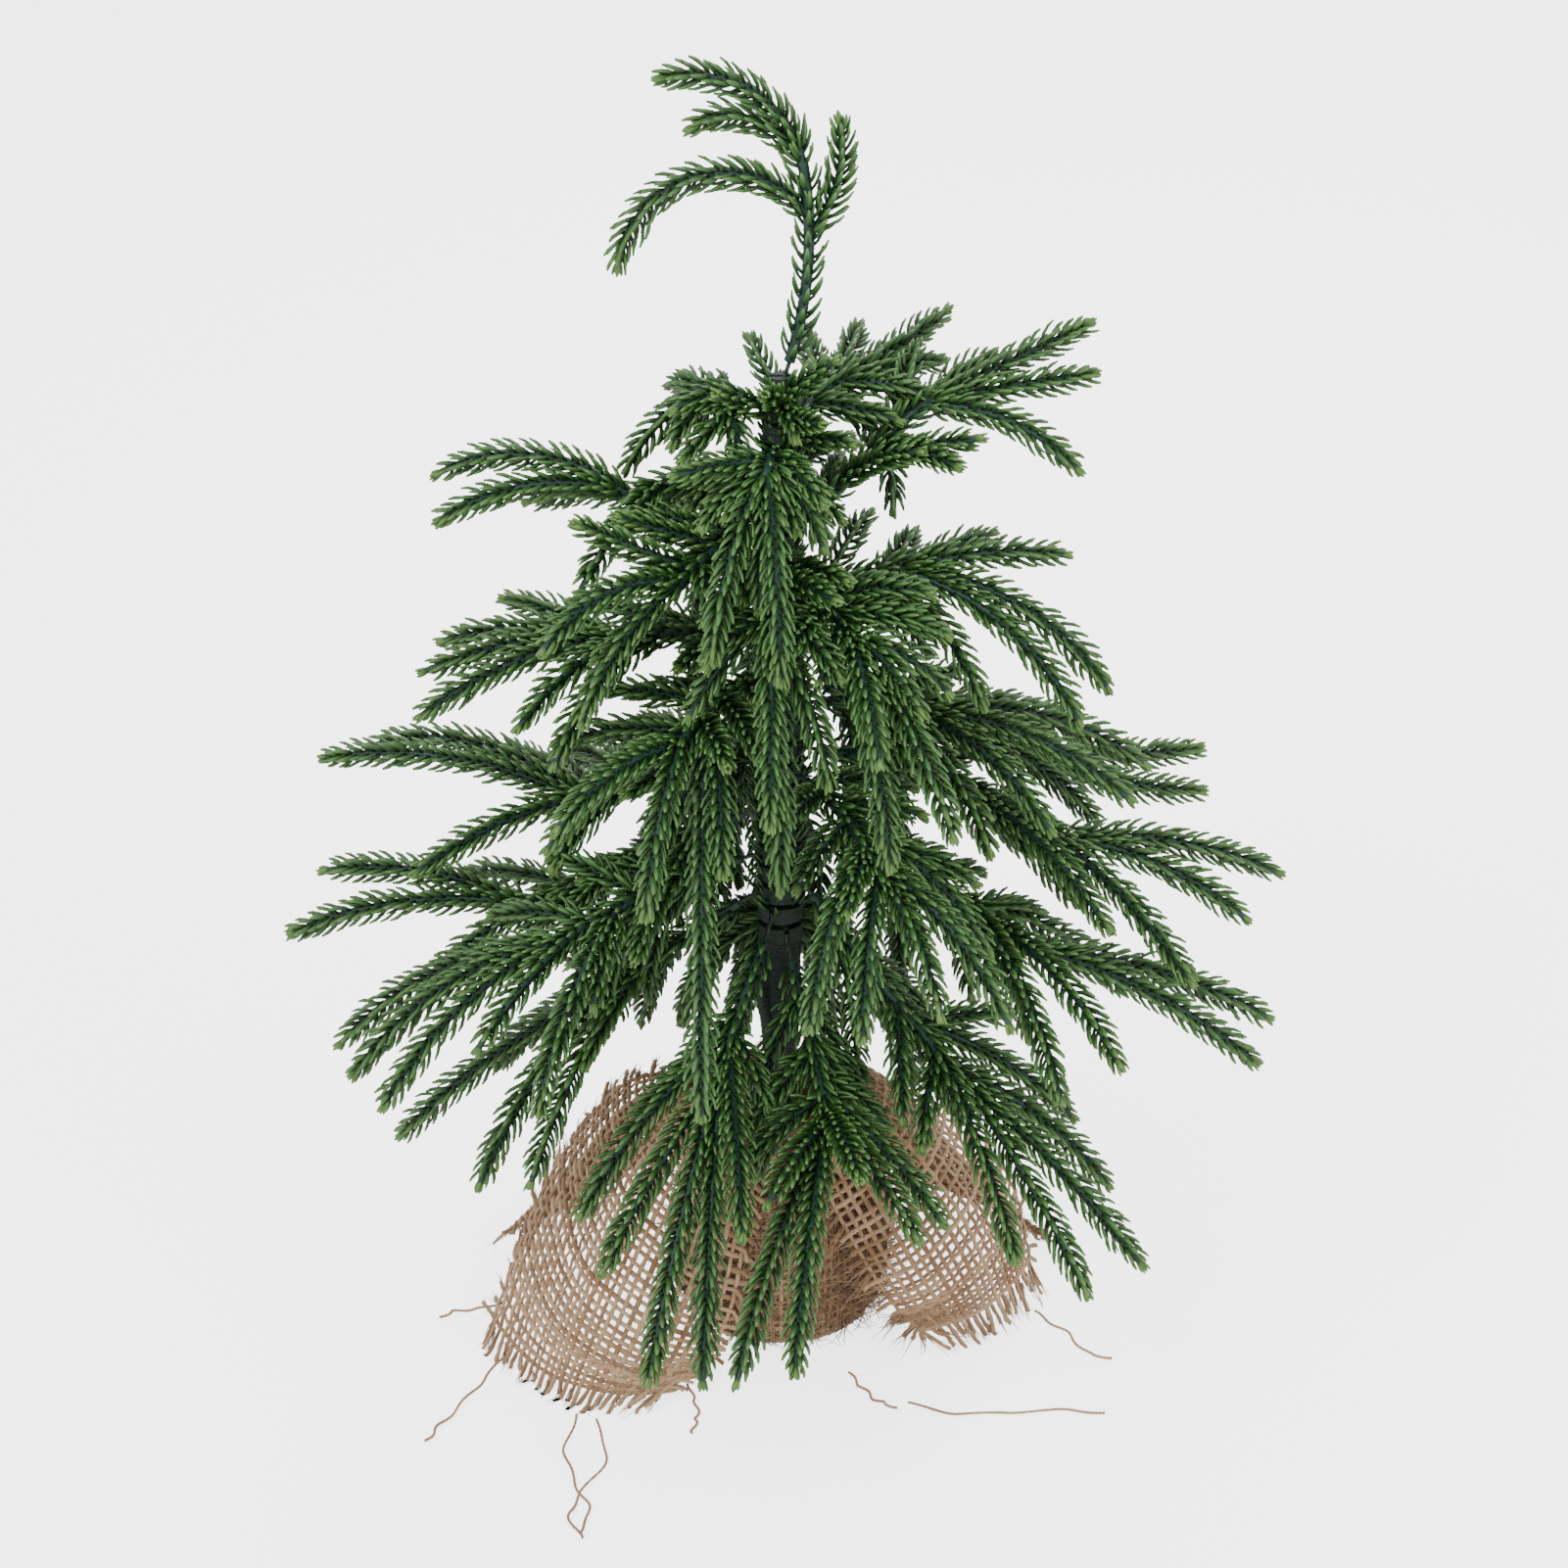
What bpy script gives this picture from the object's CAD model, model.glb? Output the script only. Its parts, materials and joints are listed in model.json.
import json
from math import atan2, cos, hypot, pi, radians, sin

import bpy
import numpy as np
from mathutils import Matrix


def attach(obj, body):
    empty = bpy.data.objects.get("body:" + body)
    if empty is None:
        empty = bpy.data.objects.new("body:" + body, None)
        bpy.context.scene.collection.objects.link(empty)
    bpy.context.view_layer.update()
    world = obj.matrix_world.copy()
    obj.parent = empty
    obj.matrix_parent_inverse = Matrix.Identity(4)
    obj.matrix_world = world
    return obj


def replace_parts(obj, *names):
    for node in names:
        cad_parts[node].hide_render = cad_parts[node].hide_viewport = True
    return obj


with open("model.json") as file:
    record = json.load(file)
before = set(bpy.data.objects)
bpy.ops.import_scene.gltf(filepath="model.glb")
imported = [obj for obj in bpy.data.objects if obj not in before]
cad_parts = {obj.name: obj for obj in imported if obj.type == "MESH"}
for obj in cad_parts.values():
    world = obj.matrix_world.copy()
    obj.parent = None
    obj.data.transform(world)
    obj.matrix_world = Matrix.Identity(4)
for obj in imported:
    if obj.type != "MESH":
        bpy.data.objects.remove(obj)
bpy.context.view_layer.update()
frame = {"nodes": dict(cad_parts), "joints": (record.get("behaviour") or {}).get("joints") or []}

# The looks of an artificial tabletop tree: needles on every spray, floral tape on the trunk, and a
# burlap wrap woven yarn by yarn. Everything here is in millimetres until mesh_object() scales it.

MM = 0.001
UP = np.array([0.0, 0.0, 1.0])
rng = np.random.default_rng(11)


# --- Where the branches go: the same sprays as in the CAD model ---
# name: (heading, hub reach, hub height, arch, tips), and each tip is
# (reach, heading, height, arch, where along the stem it leaves).

BRANCHES = {
    "bottom_front": (286, 76, 128, 0, [
        (130, 268, 126, 40, 1), (171, 264, 64, 30, 1), (175, 272, 73, 30, 1),
        (134, 284, 138, 30, 0.9), (140, 294, 108, 30, 0.9), (122, 304, 100, 30, 0.8)]),
    "bottom_front_left": (246, 66, 146, 5, [
        (140, 238, 87, 20, 1), (168, 251, 58, 20, 1), (156, 258, 53, 30, 1),
        (131, 263, 111, 30, 0.8), (122, 226, 96, 30, 0.7)]),
    "bottom_left": (184, 80, 158, 5, [
        (167, 183, 91, 20, 1), (139, 200, 88, 30, 1), (122, 208, 94, 30, 0.8),
        (130, 166, 104, 30, 0.9)]),
    "bottom_right": (326, 96, 140, -5, [
        (186, 325, 83, 20, 1), (176, 317, 77, 20, 1), (152, 338, 93, 30, 0.9),
        (131, 344, 115, 30, 0.7), (150, 311, 90, 30, 0.8)]),
    "low_front_left": (208, 106, 206, 20, [
        (192, 188, 146, 40, 1), (190, 197, 147, 45, 1), (186, 206, 146, 45, 1),
        (156, 216, 178, 30, 0.9), (150, 228, 160, 50, 0.7)]),
    "low_right": (342, 112, 194, 25, [
        (212, 355, 154, 25, 1), (208, 347, 148, 30, 1), (178, 322, 180, 45, 0.8),
        (166, 314, 170, 55, 0.7), (150, 5, 152, 40, 0.7)]),
    "low_left": (178, 110, 194, 10, [
        (200, 173, 204, 40, 1), (212, 179, 184, 40, 1), (149, 162, 190, 30, 0.8),
        (156, 188, 168, 40, 0.8)]),
    "low_back": (112, 96, 236, 40, [
        (168, 100, 196, 50, 1), (174, 114, 200, 50, 1), (166, 128, 192, 50, 1),
        (140, 86, 190, 50, 0.8), (136, 138, 182, 50, 0.7)]),
    "low_front_right": (298, 90, 250, 50, [
        (143, 297, 213, 50, 1), (138, 284, 206, 50, 1), (140, 275, 214, 60, 0.8),
        (152, 308, 204, 50, 0.9), (120, 316, 218, 50, 0.6)]),
    "far_right": (2, 122, 228, 30, [
        (217, 5, 206, 30, 1), (201, 359, 195, 35, 1), (183, 341, 194, 35, 0.8),
        (156, 331, 226, 40, 0.6), (127, 351, 212, 30, 0.5)]),
    "middle_left": (168, 92, 240, -10, [
        (200, 171, 255, 40, 1), (188, 163, 250, 60, 1), (156, 185, 222, 30, 0.9),
        (158, 148, 232, 40, 0.9), (124, 142, 234, 40, 0.7)]),
    "middle_back_right": (30, 96, 256, 30, [
        (208, 26, 232, -20, 1), (198, 20, 222, -20, 1), (156, 42, 232, 30, 1),
        (134, 54, 228, 40, 0.7), (142, 14, 224, 40, 0.8)]),
    "middle_right": (350, 60, 294, 30, [
        (155, 1, 265, 50, 1), (150, 348, 265, 45, 1), (125, 334, 262, 50, 0.9),
        (134, 12, 266, 45, 0.9), (110, 322, 258, 55, 0.7)]),
    "middle_front_left": (234, 74, 300, 30, [
        (142, 231, 289, 50, 1), (124, 244, 251, 60, 0.9), (128, 222, 268, 50, 0.9),
        (134, 256, 167, 40, 0.7), (98, 256, 262, 50, 0.6)]),
    "upper_left": (192, 72, 330, 30, [
        (118, 172, 336, 20, 1), (142, 180, 324, 30, 1), (150, 187, 318, 30, 1),
        (154, 194, 306, 40, 0.9), (122, 208, 310, 50, 0.8), (112, 214, 296, 60, 0.7)]),
    "middle_back": (78, 66, 312, 40, [
        (130, 62, 284, 50, 1), (136, 78, 288, 50, 1), (130, 94, 282, 50, 1),
        (98, 48, 288, 50, 0.7), (104, 112, 280, 50, 0.7)]),
    "upper_right": (8, 56, 354, 20, [
        (94, 19, 360, 10, 1), (120, 6, 358, 25, 1), (138, 352, 311, 60, 1),
        (130, 343, 304, 60, 0.9), (71, 36, 356, 10, 0.8), (92, 336, 312, 60, 0.7)]),
    "upper_front_right": (302, 56, 344, 50, [
        (92, 318, 328, 45, 1), (104, 303, 329, 50, 1), (116, 290, 318, 50, 1),
        (139, 300, 290, 40, 0.9), (118, 292, 272, 50, 0.8), (78, 330, 344, 40, 0.6)]),
    "upper_front": (266, 58, 350, 70, [
        (110, 268, 291, 20, 1), (92, 270, 253, 40, 0.9), (94, 282, 300, 45, 0.9),
        (74, 240, 318, 30, 0.8)]),
    "long_right": (19, 66, 425, 12, [
        (136, 19, 449, 0, 1), (132, 11, 434, 5, 1), (123, 0, 402, 55, 0.95),
        (82, 352, 419, 0, 0.55), (104, 31, 432, 20, 0.8)]),
    "upper_front_left": (226, 62, 366, 35, [
        (128, 222, 357, 70, 1), (98, 214, 398, -5, 0.8), (74, 208, 393, -5, 0.5),
        (112, 224, 322, 50, 0.9)]),
    "upper_back": (108, 50, 372, 30, [
        (112, 92, 340, 50, 1), (122, 106, 346, 40, 1), (112, 122, 338, 50, 1),
        (84, 76, 340, 50, 0.7), (86, 142, 352, 40, 0.7)]),
    "top_left": (176, 66, 387, 25, [
        (143, 176, 396, 70, 1), (141, 184, 383, 55, 1), (110, 165, 376, 20, 0.9),
        (96, 212, 368, 40, 0.7)]),
    "top_front": (260, 36, 412, 70, [
        (80, 250, 349, 50, 1), (86, 270, 344, 55, 1), (60, 262, 364, 45, 0.9),
        (62, 228, 416, 20, 0.7), (46, 292, 384, 50, 0.8)]),
    "top_back_right": (52, 42, 430, 15, [
        (107, 49, 442, -10, 1), (90, 41, 428, 10, 1), (90, 68, 434, 0, 1),
        (72, 82, 438, -10, 0.7), (54, 28, 374, 60, 0.8)]),
    "crown_left": (168, 36, 434, 40, [
        (66, 166, 396, 30, 1), (58, 140, 410, 35, 1), (34, 245, 398, 50, 0.6),
        (52, 118, 414, 30, 0.8)]),
    "leader": (0, 9, 534, -30, [
        (47, 180, 569, 95, 1), (36, 172, 547, 110, 1), (66, 186, 493, 140, 0.76),
        (24, 0, 550, -50, 0.68)]),
}
HUB_INSET = 2.5             # the last finger leaves the stem this far before its end
FINGER_STAGGER = 1.5        # and each one before it this much nearer the trunk
STEM_RADIUS = 2.3
FINGER_RADIUS = 1.8
TWIG_RADIUS = 1.4
STEM_SIDES = 7
STEM_TAPER = 0.25           # how much thinner a finger or twig is at its end
CAP_REACH = np.array([0.0, 0.35, 0.6, 0.72])        # a stem's rounded end: distances and radii, as
CAP_PROFILE = np.array([0.98, 0.8, 0.45, 0.1])      # shares of its radius
SLEEVE_START = 12.0         # bare wire between the pivot and the moulded stem


# --- Mesh helpers ---


def unit(vectors):
    return vectors / np.linalg.norm(vectors, axis=-1, keepdims=True)


def polar(reach, heading, height):
    """The point at a reach and heading from the trunk's axis."""
    return np.array([reach * cos(radians(heading)), reach * sin(radians(heading)), height])


def linked(name, data):
    """A new object, linked to the scene."""
    item = bpy.data.objects.new(name, data)
    bpy.context.scene.collection.objects.link(item)
    return item


def mesh_object(name, points, faces, body, material, attributes=None):
    """A smooth-shaded piece from points in millimetres and arrays of equal-sided faces."""
    mesh = bpy.data.meshes.new(name)
    corners = np.concatenate([group.ravel() for group in faces])
    sides = np.concatenate([np.full(len(group), group.shape[1]) for group in faces])
    mesh.vertices.add(len(points))
    mesh.vertices.foreach_set("co", (points * MM).astype(np.float32).ravel())
    mesh.loops.add(len(corners))
    mesh.loops.foreach_set("vertex_index", corners.astype(np.int32))
    mesh.polygons.add(len(sides))
    first_corners = np.concatenate([[0], np.cumsum(sides)[:-1]])
    mesh.polygons.foreach_set("loop_start", first_corners.astype(np.int32))
    mesh.update(calc_edges=True)
    mesh.validate()
    mesh.shade_smooth()
    for key, values in (attributes or {}).items():
        layer = mesh.attributes.new(key, "FLOAT", "POINT")
        layer.data.foreach_set("value", np.asarray(values, np.float32).ravel())
    mesh.materials.append(material)
    piece = linked(name, mesh)
    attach(piece, body)
    return piece


def tube_walls(index):
    """Faces between neighbouring rings of point numbers, index[..., station, side]."""
    after = np.roll(index, -1, axis=-1)
    corners = [index[..., :-1, :], after[..., :-1, :], after[..., 1:, :], index[..., 1:, :]]
    return np.stack(corners, axis=-1).reshape(-1, 4)


def tube_faces(stations, sides):
    """Walls and both ends of one tube whose rings follow each other in its points."""
    index = np.arange(stations * sides).reshape(stations, sides)
    return [tube_walls(index), np.stack([index[0, ::-1], index[-1]])]


def run_along(path):
    """Distance along a path at each of its points."""
    return np.concatenate([[0], np.cumsum(np.linalg.norm(np.diff(path, axis=0), axis=1))])


def above_ground(points, clearance):
    points[:, 2] = np.maximum(points[:, 2], clearance)
    return points


def swept(paths, ahead, across, widths, heights, sides):
    """Closed tubes along paths[tube, station], with oval sections of those half widths and heights."""
    upward = np.cross(ahead, across)
    turn = 2 * pi * np.arange(sides) / sides
    ring = (
        np.cos(turn)[:, None] * (widths[..., None] * across)[:, :, None, :]
        + np.sin(turn)[:, None] * (heights[..., None] * upward)[:, :, None, :]
    )
    points = paths[:, :, None, :] + ring
    index = np.arange(points[..., 0].size).reshape(points.shape[:3])
    ends = np.concatenate([index[:, 0, ::-1], index[:, -1]])
    return points.reshape(-1, 3), [tube_walls(index), ends]


def tubes(paths, reference, radii, flatness=1.0, sides=6):
    """Closed tubes along paths, flattened toward the reference direction."""
    ahead = unit(np.gradient(paths, axis=1))
    across = unit(np.cross(np.broadcast_to(reference, ahead.shape), ahead))
    return swept(paths, ahead, across, radii, radii * flatness, sides)


def joined(batches):
    """One set of points and faces from several, and how many points each one brought."""
    points, faces, first, counts = [], {}, 0, []
    for batch, groups in batches:
        for group in groups:
            faces.setdefault(group.shape[1], []).append(group + first)
        points.append(batch)
        first += len(batch)
        counts.append(len(batch))
    return np.concatenate(points), [np.concatenate(groups) for groups in faces.values()], counts


def smooth_curve(knots, shares):
    """A Catmull-Rom curve through knots, at shares of its way."""
    knots = np.asarray(knots, float)
    padded = np.concatenate([[2 * knots[0] - knots[1]], knots, [2 * knots[-1] - knots[-2]]])
    place = np.clip(shares, 0, 1) * (len(knots) - 1)
    first = np.minimum(place.astype(int), len(knots) - 2)
    t = (place - first)[..., None]
    a, b, c, d = (padded[first + step] for step in range(4))
    return 0.5 * (2 * b + (c - a) * t + (2 * a - 5 * b + 4 * c - d) * t**2 + (3 * b - a - 3 * c + d) * t**3)


# --- Materials ---


class Nodes:
    """Builds one node material with few words."""

    def __init__(self, name, roughness, specular=0.5):
        self.material = bpy.data.materials.new(name)
        self.material.use_nodes = True
        self.tree = self.material.node_tree
        self.shader = self.tree.nodes["Principled BSDF"]
        self.shader.inputs["Roughness"].default_value = roughness
        self.shader.inputs["Specular IOR Level"].default_value = specular

    def node(self, kind, **inputs):
        made = self.tree.nodes.new(kind)
        for key, value in inputs.items():
            self.feed(made.inputs[key.replace("_", " ")], value)
        return made

    def feed(self, socket, value):
        if isinstance(value, bpy.types.NodeSocket):
            self.tree.links.new(value, socket)
        else:
            socket.default_value = value

    def attribute(self, name):
        made = self.tree.nodes.new("ShaderNodeAttribute")
        made.attribute_name = name
        return made.outputs["Fac"]

    def noise(self, scale, detail=3.0, stretch=(1.0, 1.0, 1.0)):
        place = self.tree.nodes.new("ShaderNodeTexCoord").outputs["Object"]
        if stretch != (1.0, 1.0, 1.0):
            place = self.node("ShaderNodeMapping", Vector=place, Scale=stretch).outputs["Vector"]
        return self.node("ShaderNodeTexNoise", Vector=place, Scale=scale, Detail=detail).outputs["Fac"]

    def ramp(self, factor, *stops):
        made = self.node("ShaderNodeValToRGB", Fac=factor)
        while len(made.color_ramp.elements) < len(stops):
            made.color_ramp.elements.new(0.5)
        for element, (position, colour) in zip(made.color_ramp.elements, stops):
            element.position = position
            element.color = (*colour, 1)
        return made.outputs["Color"]

    def maths(self, operation, *values):
        made = self.tree.nodes.new("ShaderNodeMath")
        made.operation = operation
        for socket, value in zip(made.inputs, values):
            self.feed(socket, value)
        return made.outputs["Value"]

    def mix(self, factor, first, second, blend="MIX"):
        made = self.tree.nodes.new("ShaderNodeMix")
        made.data_type = "RGBA"
        made.blend_type = blend
        self.feed(made.inputs["Factor"], factor)
        self.feed(made.inputs["A"], first)
        self.feed(made.inputs["B"], second)
        return made.outputs["Result"]

    def colour(self, socket):
        self.feed(self.shader.inputs["Base Color"], socket)

    def rough(self, factor, low, high):
        spread = self.node("ShaderNodeMapRange", Value=factor, To_Min=low, To_Max=high)
        self.feed(self.shader.inputs["Roughness"], spread.outputs["Result"])

    def bump(self, height, strength, distance):
        made = self.node("ShaderNodeBump", Height=height, Strength=strength, Distance=distance)
        self.feed(self.shader.inputs["Normal"], made.outputs["Normal"])


def needle_material():
    """Moulded needles: dark at their feet and deep in the tree, yellow-green at the newest tips."""
    look = Nodes("needles", 0.42, 0.45)
    along = look.ramp(
        look.attribute("blade"),
        (0.0, (0.006, 0.022, 0.007)),
        (0.35, (0.017, 0.062, 0.013)),
        (0.8, (0.040, 0.120, 0.021)),
        (1.0, (0.115, 0.225, 0.065)),
    )
    fresh = look.mix(look.attribute("fresh"), along, (0.19, 0.31, 0.07, 1))
    varied = look.maths("MULTIPLY_ADD", look.noise(90.0), 0.5, 0.72)
    shaded = look.mix(1.0, fresh, look.ramp(varied, (0.0, (0.0,) * 3), (1.0, (1.0,) * 3)), "MULTIPLY")
    cooler = look.mix(1.0, shaded, (0.70, 0.84, 0.72, 1), "MULTIPLY")
    look.colour(look.mix(look.attribute("tint"), shaded, cooler))
    look.rough(look.noise(900.0), 0.34, 0.5)
    look.bump(look.noise(1800.0), 0.25, 0.0003)
    return look.material


def stem_material():
    """Moulded stems: dark bluish green, ribbed where needles spring from them."""
    look = Nodes("stems", 0.5, 0.4)
    patches = look.noise(260.0, 5.0)
    look.colour(look.ramp(patches, (0.3, (0.006, 0.024, 0.018)), (0.7, (0.016, 0.060, 0.034))))
    look.rough(patches, 0.4, 0.62)
    look.bump(look.noise(1100.0), 0.6, 0.0006)
    return look.material


def tape_material():
    """Crepe floral tape: nearly black green, wrinkled across its windings."""
    look = Nodes("floral_tape", 0.7)
    crepe = look.noise(240.0, 6.0, stretch=(1.0, 1.0, 7.0))
    look.colour(look.ramp(crepe, (0.35, (0.004, 0.010, 0.007)), (0.7, (0.016, 0.034, 0.022))))
    look.rough(crepe, 0.6, 0.85)
    look.bump(crepe, 0.8, 0.0006)
    return look.material


def jute_material(name, dark, light, shade=1.0):
    """Jute: tan fibres with darker and paler yarns, and fine twisted strands."""
    look = Nodes(name, 0.9, 0.15)
    strands = look.noise(1500.0, 6.0)
    yarn = look.mix(look.attribute("tint"), (*dark, 1), (*light, 1))
    spots = look.ramp(look.noise(70.0, 4.0), (0.3, (0.72, 0.62, 0.52)), (0.65, (1.0, 1.0, 1.0)))
    fibres = look.ramp(strands, (0.3, (0.6 * shade,) * 3), (0.65, (1.12 * shade,) * 3))
    look.colour(look.mix(1.0, look.mix(1.0, yarn, spots, "MULTIPLY"), fibres, "MULTIPLY"))
    look.rough(strands, 0.8, 1.0)
    look.bump(strands, 0.7, 0.0004)
    look.shader.inputs["Sheen Weight"].default_value = 0.25
    return look.material


def metal_material():
    """Drawn wire with a thin dark coat, worn in spots."""
    look = Nodes("coated_wire", 0.4)
    wear = look.noise(420.0, 5.0)
    look.colour(look.ramp(wear, (0.45, (0.010, 0.024, 0.014)), (0.8, (0.11, 0.12, 0.11))))
    look.rough(wear, 0.35, 0.6)
    look.bump(wear, 0.3, 0.0003)
    return look.material


def moulded_material(name, low, high, roughness):
    """Plain moulded or cast surface with a fine grain."""
    look = Nodes(name, roughness)
    grain = look.noise(600.0, 5.0)
    look.colour(look.ramp(grain, (0.3, low), (0.75, high)))
    look.rough(grain, roughness - 0.1, min(1.0, roughness + 0.1))
    look.bump(grain, 0.4, 0.0004)
    return look.material


needles_look = needle_material()
stems_look = stem_material()
wire_look = metal_material()
tape_look = tape_material()
jute_look = jute_material("jute", (0.29, 0.170, 0.092), (0.56, 0.375, 0.225))
lining_look = jute_material("jute_lining", (0.28, 0.165, 0.088), (0.48, 0.32, 0.185), 0.92)
pot_look = moulded_material("pot_plastic", (0.012, 0.012, 0.012), (0.03, 0.03, 0.03), 0.55)
cement_look = moulded_material("cement", (0.34, 0.33, 0.31), (0.58, 0.57, 0.54), 0.9)

NODE_LOOKS = {
    "base_pot": pot_look,
    "cement_weight": cement_look,
    "trunk_rod": wire_look,
    "trunk_wrap": tape_look,
}


def look_of(node):
    """The material of a CAD node that stays in view."""
    if node.startswith("wire_"):
        return wire_look
    if node.startswith("spray_"):
        return stems_look
    return NODE_LOOKS.get(node, jute_look)


for node, cad_piece in frame["nodes"].items():
    cad_piece.data.materials.clear()
    cad_piece.data.materials.append(look_of(node))


# --- Needles ---

NEEDLE_LENGTH = 10.6
LEADER_NEEDLE_LENGTH = 11.4
END_SHORTENING = 0.36       # how much shorter the needles are at a finger's end
NEEDLE_HALF_WIDTH = 1.2
NEEDLE_HALF_THICKNESS = 0.85
NEEDLE_ROWS = 6
FINGER_PITCH = 5.2          # from one needle to the next in a row, on a finger
STEM_PITCH = 6.0            # and on a stem
LEADER_PITCH = 8.0          # and on the leader's
LEAVING_ANGLE = 54.0        # between a needle's foot and its stem
ARRIVING_ANGLE = 12.0       # and at the needle's tip, after it has curved forward
END_LEAN = 20.0             # how much less the first angle is at a finger's end
END_CURL = 9.0              # and the second
BARE_STEM = 14.0            # no needles this near the trunk
STATIONS = np.array([0.0, 0.35, 0.72, 1.0])
WIDTH_PROFILE = np.array([0.6, 1.0, 0.94, 0.3])
PALE_EDGE = np.array([0.10, 0.0, 0.10, 0.0])    # how much paler each corner of a needle is
NEEDLE_CORNERS = 4
TIP_NEEDLES = 7
TIP_ZONE = 22.0             # the last stretch of a finger, where needles are short and point ahead
TRUNK_NEEDLES_FOOT = 196.0
TRUNK_NEEDLES_TOP = 441.0
TRUNK_NEEDLE_PITCH = 4.4
TWIG_SHARES = (0.24, 0.36, 0.48, 0.60, 0.72, 0.84)     # where small side twigs leave a stem
TWIG_ARCH = 30.0
BARE_BRANCHES = ("bottom_front", "bottom_front_left", "bottom_left", "bottom_right")
CROWN_BRANCHES = ("crown_left", "top_front", "top_left", "top_back_right")
OPEN_BRANCHES = ("long_right", "upper_right", "upper_left", "upper_front_left", "middle_left", "top_left")
# Hanging twigs of a branch near the trunk: share of the stem, then the twig's end and arch.
INNER_TWIGS = {
    "bottom_front": [
        (0.3, 52, 316, 120, 20), (0.5, 70, 308, 108, 20), (0.3, 46, 254, 120, 20),
        (0.55, 72, 262, 106, 20)],
    "low_back": [
        (0.55, 76, 150, 158, 50), (0.7, 92, 96, 150, 50), (0.7, 96, 130, 150, 50),
        (0.85, 112, 108, 152, 50), (0.5, 62, 136, 170, 50), (0.3, 38, 130, 188, 60),
        (0.3, 40, 66, 182, 60)],
    "middle_back": [
        (0.4, 48, 112, 218, 50), (0.5, 56, 84, 206, 50), (0.5, 60, 58, 222, 50), (0.7, 78, 96, 214, 40),
        (0.35, 40, 118, 194, 50), (0.35, 42, 50, 200, 50)],
    "upper_back": [(0.5, 52, 84, 286, 50), (0.6, 62, 126, 280, 50)],
    "low_left": [(0.35, 52, 128, 152, 50), (0.5, 80, 150, 150, 40), (0.65, 96, 158, 146, 40)],
    "bottom_left": [(0.5, 72, 150, 124, 30), (0.6, 84, 160, 122, 20)],
    "bottom_right": [
        (0.4, 72, 12, 126, 30), (0.3, 60, 350, 120, 20), (0.45, 82, 342, 108, 20),
        (0.25, 44, 320, 124, 20)],
    "low_right": [
        (0.35, 62, 30, 146, 50), (0.5, 88, 16, 142, 40), (0.3, 48, 60, 150, 50), (0.4, 74, 44, 138, 50)],
    "low_front_left": [(0.3, 58, 186, 158, 50), (0.45, 80, 192, 152, 40)],
    "middle_back_right": [(0.5, 76, 46, 196, 50), (0.6, 90, 60, 190, 50)],
    "middle_left": [(0.4, 66, 150, 196, 50), (0.3, 50, 186, 200, 50)],
}
# Short twigs fixed in the trunk: start height, then the end and arch. The first ones hang at its back
# under the branches, and the last ones close round its top.
TRUNK_TWIGS = [
    (192, 46, 116, 114, 50), (192, 50, 60, 114, 50), (192, 72, 104, 104, 60), (192, 70, 74, 106, 60),
    (192, 58, 140, 124, 50), (192, 62, 46, 128, 50), (192, 48, 90, 134, 60), (192, 84, 92, 112, 70),
    (192, 64, 124, 138, 70), (192, 64, 62, 144, 70), (192, 46, 156, 134, 50), (192, 52, 28, 130, 50),
    (192, 40, 104, 152, 60), (192, 78, 116, 126, 70),
    (430, 27, 258, 444, 20), (421, 33, 300, 432, 20), (426, 29, 212, 440, 20), (414, 32, 334, 418, 30),
    (408, 33, 238, 406, 40), (434, 24, 336, 452, 10), (433, 26, 118, 450, 10), (398, 36, 312, 390, 50),
    (432, 22, 286, 424, 50)]
TRUNK_TWIG_INSET = 3.0      # from the trunk's axis


def arched(start, end, arch, shares):
    """Points, directions, side and length of the arc from start to end that turns down by arch degrees."""
    chord = end - start
    level = np.array([chord[0], chord[1], 0.0]) / hypot(chord[0], chord[1])
    turn = radians(arch) if arch else 1e-6
    leaving = atan2(chord[2], hypot(chord[0], chord[1])) + turn / 2
    length = np.linalg.norm(chord) * (turn / 2) / sin(turn / 2)
    slope = leaving - turn * shares
    radius = length / turn
    points = (
        start
        + np.outer(radius * (sin(leaving) - np.sin(slope)), level)
        + np.outer(radius * (np.cos(slope) - cos(leaving)), UP)
    )
    ahead = np.outer(np.cos(slope), level) + np.outer(np.sin(slope), UP)
    return points, ahead, np.array([level[1], -level[0], 0.0]), length


def arc_length(start, end, arch):
    return arched(start, end, arch, np.zeros(1))[3]


def needle_feet(length, pitch, bare):
    """Distance along a stem and angle round it of each needle: staggered rows."""
    count = max(1, int((length - bare) / pitch))
    row = np.tile(np.arange(NEEDLE_ROWS), count)
    step = np.repeat(np.arange(count), NEEDLE_ROWS)
    distance = bare + (step + 0.5 * (row % 2) + rng.uniform(-0.12, 0.12, row.size)) * pitch
    turn = 2 * pi * row / NEEDLE_ROWS + rng.uniform(-0.16, 0.16, row.size)
    return np.minimum(distance, length - 0.4), turn


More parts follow.
